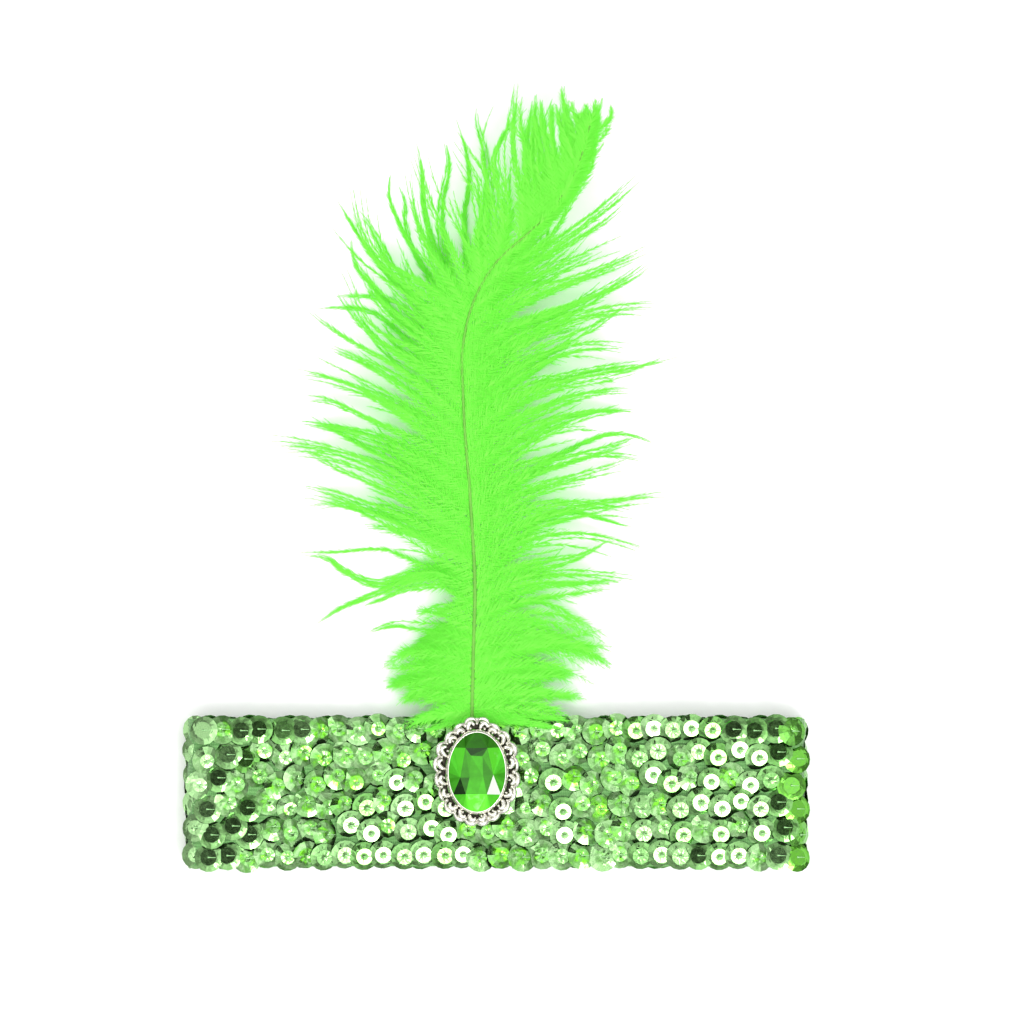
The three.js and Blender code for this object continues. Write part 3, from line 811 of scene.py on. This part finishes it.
shaft_line = smooth_line([
    (band_x + quill_aside + aside * plume_length, band_y + band_edge + along * plume_length,
     quill_height + lift * curl_height) for along, aside, lift in shaft_route
], 240)
shaft_ahead = unit(np.gradient(shaft_line, axis=0))


def on_shaft(share, table=shaft_line):
    """Places on the shaft, or directions there, at shares of its length."""
    place = np.clip(share, 0, 1) * (len(table) - 1)
    return np.stack([np.interp(place, np.arange(len(table)), table[:, k]) for k in range(3)], -1)


def spread(table, places):
    """The table's columns at places between its rows."""
    return np.stack([np.interp(places, table[:, 0], column) for column in table.T], 1)


# Barbs cling together in strands, which drift from their places, wave and hook at the tip
strand_barbs = (2, 8)
strand_drift = (2.6, 2.8, 0.8)
wave_height = 1.4
hook_strength = 13
left_hook = 14
floor_gap = 0.35
band_gap = 0.5
# Shares of the shaft, and how far barbs from there droop at the tip. Below zero they curl up.
left_droop = [0.0, 0.35, 0.45, 0.55, 0.68, 0.74], [0.12, 0.12, 0.02, -0.12, -0.15, -0.05]
right_droop = [0.0, 0.4, 0.5, 0.6, 0.68, 0.74], [0.15, 0.13, 0.05, -0.05, -0.12, -0.05]


def barb_lines(side, locks, roots, clinging=(0.55, 0.98), reach=1.0, steps=20):
    """One line for each barb. Neighbours cling together in strands that taper to one tip.
    clinging: the least and most that they do so. reach: their share of the full length."""
    table = np.array(locks, float)
    count = len(roots)
    own = spread(table, roots)
    start = on_shaft(roots)
    ahead = unit(on_shaft(roots, shaft_ahead))

    def tips(rows, at):
        place = on_shaft(at)
        place[:, 0] += side * rows[:, 1] * plume_reach
        place[:, 1] += rows[:, 2] * plume_length
        place[:, 2] = np.maximum(rows[:, 4] * quill_height, 0.5)
        return place

    strand = np.repeat(np.arange(count), growth.integers(*strand_barbs, count))[:count]
    middle = (np.bincount(strand, roots) / np.bincount(strand))[strand]
    drift = growth.normal(0, 1, (count, 3))[strand] * strand_drift
    cling = growth.uniform(*clinging, count)[strand][:, None]
    end = tips(own, roots) * (1 - cling) + (tips(spread(table, middle), middle) + drift) * cling
    length = np.clip(growth.normal(1.0, 0.05, count), 0.86, 1.07)[strand]
    length *= np.where(growth.uniform(0, 1, count) < 0.25, growth.uniform(0.62, 0.88, count),
                       growth.uniform(0.9, 1.0, count))
    end = start + (end - start) * length[:, None] * reach
    span = np.linalg.norm(end - start, axis=1, keepdims=True)
    lean = -side * np.radians(own[:, 3] + growth.normal(0, 3, count))
    launch = np.stack([
        ahead[:, 0] * np.cos(lean) - ahead[:, 1] * np.sin(lean),
        ahead[:, 0] * np.sin(lean) + ahead[:, 1] * np.cos(lean),
        ahead[:, 2],
    ], 1)
    # Barbs droop outwards, but those near the tip stand up
    droop = np.interp(roots, *(right_droop if side > 0 else left_droop))[:, None]
    droop = droop + growth.normal(0, 0.04, (count, 1))[strand]
    first = start + launch * span * 0.36 + span * [0, 0, 0.05]
    second = end * 0.66 + start * 0.34 + span * [0, 1, 0] * droop + span * [0, 0, 0.07]
    # One smooth curve for each barb, to which its strand's wave and hook are added
    t = np.linspace(0, 1, steps)[None, :, None]
    line = ((1 - t) ** 3 * start[:, None] + 3 * (1 - t) ** 2 * t * first[:, None]
            + 3 * (1 - t) * t ** 2 * second[:, None] + t ** 3 * end[:, None])
    across = np.cross(unit(end - start), [0, 0, 1.0])[:, None]
    wave = growth.normal(0, wave_height, count)[strand] * np.interp(roots, [0.5, 0.65], [1, 1.8])
    wave = (wave + growth.normal(0, 0.35, count))[:, None, None]
    pace = growth.uniform(3, 7, count)[strand][:, None, None]
    phase = growth.uniform(0, 6, count)[strand][:, None, None]
    line = line + across * wave * np.sin(t * pace + phase) * t ** 1.5
    hook = growth.normal(0, hook_strength, count)[strand] + growth.normal(0, 4, count)
    if side < 0:
        # Those on the left curl up at the tip
        hook += np.interp(roots, [0.22, 0.3], [0, left_hook])
    hook *= np.interp(roots, [0.72, 0.8], [1, 0.2])
    line = line + across * hook[:, None, None] * np.clip(t - 0.58, 0, 1) ** 2
    line[:, :, 2] += growth.normal(0, 0.7, (count, 1)) * np.sin(t[:, :, 0] * np.pi)
    return lay_down(line)


def lay_down(line):
    """Barbs lie on the surface, and over the band's edge."""
    on_band = line[:, :, 1] < band_y + band_edge + 0.6
    floor = np.where(on_band, front_top + band_gap, floor_gap)
    line[:, :, 2] = np.maximum(line[:, :, 2], floor)
    return line


# Loose strands that have come away from the vane: root on the shaft, how many barbs, and the
# places that they run through, aside and along from the plume's foot, in millimetres.
left_loose = [
    (0.222, 5, [(-18.6, 44.3), (-26.7, 41.5), (-32, 41.5), (-39.2, 44.7), (-45.5, 49), (-54.6, 50.6)]),
    (0.232, 2, [(-17.3, 47.5), (-26.7, 51.6), (-42.4, 50.9), (-54.9, 50.9)]),
    (0.212, 4, [(-17.3, 42.8), (-25.8, 39.6), (-35.2, 35.9), (-39.9, 34), (-49.3, 28.3)]),
    (0.203, 3, [(-16.4, 40), (-21.7, 39), (-26.7, 36.8), (-35.2, 33.4)]),
    (0.14, 3, [(-17, 28), (-23.3, 28.7), (-28.9, 27.4), (-33, 25.5)]),
    (0.5, 3, [(-14.7, 111), (-25, 121.9), (-31.2, 126.2), (-39.7, 127.5), (-49.7, 127.2)]),
    (0.53, 2, [(-11.6, 114), (-19.4, 124), (-24.7, 129.4), (-33.4, 131.2), (-44.3, 131.2)]),
    (0.003, 6, [(-5, -1.5), (-10, -3.5), (-15, -5)]),
    (0.006, 6, [(-6, 0.8), (-13, 0), (-19.5, -2.5)]),
    (0.54, 3, [(-24.1, 125), (-31.9, 134.4), (-35.6, 138.4), (-37.5, 143.7), (-38.1, 151.5)]),
    (0.555, 3, [(-14.5, 126.9), (-23.8, 137.3), (-28, 145.6), (-32.6, 153.9), (-37.3, 159.7)]),
    (0.56, 3, [(-13.4, 125.8), (-24.9, 136.2), (-33.2, 146.6), (-38.4, 155), (-42.5, 161.8)]),
    (0.575, 4, [(-9.3, 129), (-16.5, 141.4), (-22.8, 152.9), (-26.3, 163.3), (-25.3, 171.6)]),
    (0.585, 3, [(-10, 133), (-17.5, 144), (-21, 154.5), (-21, 161), (-23.5, 167)]),
    (0.59, 4, [(-7.6, 134.2), (-13, 146.6), (-15.9, 159.1), (-16.3, 170.6), (-18.4, 181)]),
    (0.6, 4, [(-6.6, 137.3), (-9.3, 149.8), (-9.3, 161.2), (-7.2, 172.6), (-8.8, 181.4)]),
    (0.63, 4, [(-2, 143.5), (-2.6, 156), (-0.9, 168.5), (-2.6, 178.9), (-5.1, 186.8)]),
    (0.66, 3, [(3.2, 151.8), (4.9, 164.3), (3.6, 176.8), (1.1, 187.2), (1.8, 194)]),
]
right_loose = [
    (0.2, 4, [(30.7, 63.4), (41, 61), (48, 59), (54.8, 58.1)]),
    (0.003, 7, [(8, -1), (15, -2), (22, -3.2), (28, -4.2)]),
    (0.006, 6, [(10, 0), (20, -0.6), (31, -1.6)]),
    (0.33, 3, [(27.5, 81.3), (36.9, 86), (45.7, 88.2), (52.6, 86.7), (58.9, 84.2)]),
]


def loose_lines(loose, steps=20):
    """Lines for the barbs of loose strands, drawn together at the tip."""
    lines = []
    for root, barbs, places in loose:
        foot = on_shaft(np.array([root]))[0]
        for _ in range(barbs):
            shift = growth.normal(0, 0.7, 2)
            points = [foot]
            for k, (aside, along) in enumerate(places):
                near = 1 - 0.8 * k / (len(places) - 1)
                x = band_x + quill_aside + aside + shift[0] * near
                y = band_y + band_edge + along + shift[1] * near
                fall = max(0.0, 1 - math.hypot(x - foot[0], y - foot[1]) / 30)
                points.append((x, y, 0.6 + foot[2] * fall ** 2))
            line = smooth_line(points, 40)
            used = np.linspace(0, growth.uniform(0.88, 1.0) * 39, steps)
            lines.append(np.stack([np.interp(used, np.arange(40), line[:, k]) for k in range(3)], 1))
    return lay_down(np.array(lines))


def barb_tubes(lines, root_radius=0.24, tip_radius=0.07):
    """Three-sided rods along all the lines at once."""
    count, steps, _ = lines.shape
    ahead = unit(np.gradient(lines, axis=1))
    aside = unit(np.cross(ahead, [0.0, 0.0, 1.0]))
    up = np.cross(aside, ahead)
    turn = 2 * np.pi * np.arange(3) / 3 + np.pi / 2
    radius = np.linspace(root_radius, tip_radius, steps)[None, :, None, None]
    circle = (aside[:, :, None] * np.cos(turn)[None, None, :, None]
              + up[:, :, None] * np.sin(turn)[None, None, :, None])
    points = (lines[:, :, None] + circle * radius).reshape(-1, 3)
    quads = ring_faces(steps, 3)
    faces = (quads[None] + (np.arange(count) * steps * 3)[:, None, None]).reshape(-1, 4)
    return points, np.concatenate([faces[:, [0, 1, 2]], faces[:, [0, 2, 3]]])


def barbules(lines, fluff):
    """Slender spikes on both sides of every line: long and open near the shaft, close-laid
    further out, which draws each barb out to a point. fluff: how open each barb stays."""
    count, steps, _ = lines.shape
    lengths = np.linalg.norm(np.diff(lines, axis=1), axis=2).sum(1)
    number = np.maximum(4, (lengths / barbule_spacing).astype(int))
    barb = np.repeat(np.arange(count), number)
    t = growth.uniform(0.01, 1.0, len(barb))
    place = t * (steps - 1)
    low = np.minimum(place.astype(int), steps - 2)
    share = (place - low)[:, None]
    root = lines[barb, low] * (1 - share) + lines[barb, low + 1] * share
    ahead = unit(lines[barb, low + 1] - lines[barb, low])
    aside = unit(np.cross(ahead, [0.0, 0.0, 1.0])) * growth.choice([-1.0, 1.0], (len(barb), 1))
    up = np.cross(aside, ahead)
    close = np.clip((t - 0.05) / 0.6, 0, 1)
    close = close * close * (3 - 2 * close) * (1 - 0.6 * fluff[barb])
    angle = np.radians(42 - 29 * close + growth.normal(0, 6, len(barb)))[:, None]
    rise = growth.normal(0, 0.22, (len(barb), 1))
    direction = unit(ahead * np.cos(angle) + aside * np.sin(angle) + up * rise)
    size = barbule_length * (1 - 0.42 * close) * growth.uniform(0.6, 1.15, len(barb))
    size *= np.clip((1.02 - t) / 0.16, 0.16, 1)
    tip = root + direction * size[:, None]
    tip[:, 2] = np.maximum(tip[:, 2], 0.12)
    base_up = unit(np.cross(direction, aside + up * 0.3))
    base_side = np.cross(direction, base_up)
    wide = (barbule_width * np.clip((1.06 - t) / 0.3, 0.3, 1))[:, None]
    corners = [root + base_side * wide, root - base_side * wide * 0.5 + base_up * wide * 0.8,
               root - base_side * wide * 0.5 - base_up * wide * 0.8, tip]
    points = np.stack(corners, 1).reshape(-1, 3)
    quad = np.array([(0, 1, 3), (1, 2, 3), (2, 0, 3), (0, 2, 1)])
    faces = (quad[None] + (np.arange(len(barb)) * 4)[:, None, None]).reshape(-1, 3)
    return points, faces


# Barbs on each side, by the stretch of the shaft that they grow from
barb_stretches = [
    # from, to, barbs
    (0.004, 0.992, 225),  # the whole vane
    (0.79, 0.985, 60),  # the brush at the tip
    (0.003, 0.12, 30),  # the down at the foot
]
filling_barbs = 95
barbule_spacing = 0.29
barbule_length = 5.0
barbule_width = 0.16
# Stretches of the shaft with no barbs, where the vane has parted
partings = {
    "left": [(0.186, 0.215), (0.655, 0.667), (0.705, 0.72), (0.75, 0.77)],
    "right": [(0.605, 0.616), (0.66, 0.673), (0.7, 0.712), (0.745, 0.79)],
}


def make_plume():
    # The last number of each finish is its painted glow
    vane = plume_finish("dyed_barbs_painted_glow", (0.29, 0.84, 0.115), (0.35, 0.89, 0.145), 0.45, 0.2)
    bone = plume_finish("dyed_shaft_painted_glow", (0.13, 0.36, 0.05), (0.2, 0.5, 0.08), 0.05, 0.1)
    quill = np.concatenate([
        [[band_x + quill_aside, band_y + band_edge - quill_tuck, quill_height]],
        shaft_line[::4], shaft_line[-1:],
    ])
    thickness = np.linspace(quill_radius, shaft_tip_radius, len(quill))
    # The shaft shows above its barbs
    quill[:, 2] += np.interp(np.arange(len(quill)), [6, 14], [0, 0.5])
    points, faces = tube(quill, thickness * 0.8, 10)
    shaft = add_piece("plume_shaft", points, faces, bone)
    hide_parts("ostrich_plume")
    sides = (("left", -1, left_locks, left_loose), ("right", 1, right_locks, right_loose))
    for name, side, locks, loose in sides:
        roots = np.concatenate([np.linspace(*stretch) for stretch in barb_stretches])
        roots = np.sort(roots + growth.normal(0, 0.0015, len(roots)))
        for low, high in partings[name]:
            roots = roots[(roots < low) | (roots > high)]
        # Shorter barbs, which fill the vane between the strands
        filling = np.sort(growth.uniform(0.02, 0.76, filling_barbs))
        loose_barbs = loose_lines(loose)
        lines = np.concatenate([barb_lines(side, locks, roots),
                                barb_lines(side, locks, filling, (0.0, 0.3), 0.7), loose_barbs])
        roots = np.concatenate([roots, filling, np.zeros(len(loose_barbs))])
        lower = roots < 0.5
        fluff = np.interp(roots, [0.12, 0.17, 0.74, 0.8], [1, 0, 0, 0.4])
        fluff[-len(loose_barbs):] = 0
        for half, chosen in (("lower", lower), ("upper", ~lower)):
            some = lines[chosen]
            points, faces = join([barb_tubes(some), barbules(some, fluff[chosen])])
            piece = add_piece(f"barbs_{name}_{half}", points, faces, vane, smooth=False)
            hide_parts("ostrich_plume")


def make_stage():
    material, look = new_finish("white_card")
    look.surface(look.add("BsdfPrincipled", None, {
        "Base Color": look.mix(look.noise(40.0, 4.0), (0.97, 0.97, 0.97), (0.99, 0.99, 0.99)),
        "Roughness": 0.9,
        "Specular IOR Level": 0.1,
    }))
    mesh = bpy.data.meshes.new("white_surface")
    # It reaches well past the picture, and lies a hair below the part
    half = 4.0
    mesh.from_pydata([(-half, -half, 0), (half, -half, 0), (half, half, 0), (-half, half, 0)], [],
                     [(0, 1, 2, 3)])
    mesh.materials.append(material)
    surface = bpy.data.objects.new("white_surface", mesh)
    surface.location.z = -0.00002
    bpy.context.scene.collection.objects.link(surface)


softboxes = [
    # name, azimuth and zenith in degrees, distance, width and depth in metres, radiance
    ("key", -58.7, 30.3, 1.5, 0.42, 0.42, 12.0),
    ("fill", 140, 48, 1.6, 0.5, 0.4, 3.0),
]
# A dark flag up and to the left, which the sequins that lean that way reflect, in degrees
flag_azimuth = 123.6
flag_zenith = 21.5
flag_reach = 12.5
flag_soft_edge = 2


def towards(azimuth, zenith):
    azimuth = math.radians(azimuth)
    zenith = math.radians(zenith)
    return Vector((math.sin(zenith) * math.cos(azimuth), math.sin(zenith) * math.sin(azimuth),
                   math.cos(zenith)))


def add_softbox(name, azimuth, zenith, distance, width, depth, radiance):
    """A rectangular soft light that faces the headband from a direction."""
    data = bpy.data.lights.new(name, "AREA")
    data.shape = "RECTANGLE"
    data.size = width
    data.size_y = depth
    data.energy = radiance * math.pi * width * depth
    lamp = bpy.data.objects.new(name, data)
    out = towards(azimuth, zenith)
    lamp.location = out * distance
    lamp.rotation_euler = out.to_track_quat("Z", "Y").to_euler()
    bpy.context.scene.collection.objects.link(lamp)


def make_light():
    world = bpy.data.worlds.new("studio")
    world.use_nodes = True
    look = Finish(world.node_tree)
    direction = look.add("TexCoord", output="Generated")
    along, beyond, up = (look.axis(direction, name) for name in "XYZ")
    # Brightest straight above, so that what lies on the surface casts little shade
    level = up - beyond * 0.05 + along * 0.03
    sky = look.ramp(level, [(0.0, 0.12), (0.5, 0.26), (0.78, 0.62), (1.0, 0.95)])
    flag_at = towards(flag_azimuth, flag_zenith)
    nearness = along * flag_at.x + beyond * flag_at.y + up * flag_at.z
    flag = look.ramp(nearness, [(math.cos(math.radians(flag_reach)), 1.0),
                                (math.cos(math.radians(flag_reach - flag_soft_edge)), 0.0)])
    sky = look.mix(1.0, sky, flag, "MULTIPLY")
    # The room is uneven, which breaks up what the sequins' rims reflect
    clutter = look.ramp(look.noise(6.0, 2.0, 0.5, direction), [(0.36, 0.35), (0.64, 1.4)])
    sky = look.mix(1.0, sky, clutter, "MULTIPLY")
    background = look.add("Background", None, {"Color": sky, "Strength": 2.9})
    look.feed(look.tree.nodes.new("ShaderNodeOutputWorld").inputs["Surface"], background)
    bpy.context.scene.world = world
    for softbox in softboxes:
        add_softbox(*softbox)


# What the photograph shows: its width, and its middle from the band's own
picture_width = 319.5
picture_aside = 4.99
picture_along = 87.67


def make_camera():
    """Straight above, with the frame of the photograph."""
    data = bpy.data.cameras.new("above")
    camera = bpy.data.objects.new("above", data)
    distance = 2.5
    sensor = 36
    data.sensor_width = sensor
    data.lens = sensor * distance / (picture_width * MM)
    # The distance is from about the height of the band's front
    camera.location = ((band_x + picture_aside) * MM, (band_y + picture_along) * MM,
                       distance + 13 * MM)
    bpy.context.scene.collection.objects.link(camera)
    bpy.context.scene.camera = camera
    bpy.context.scene.view_settings.view_transform = "Standard"


make_camera()
make_stage()
make_light()
make_sequins()
make_setting()
make_stone()
make_plume()
for node, finish in (("elastic_loop", elastic_finish()), ("fixing_pad", felt_finish())):
    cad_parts[node].data.materials.clear()
    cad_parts[node].data.materials.append(finish)
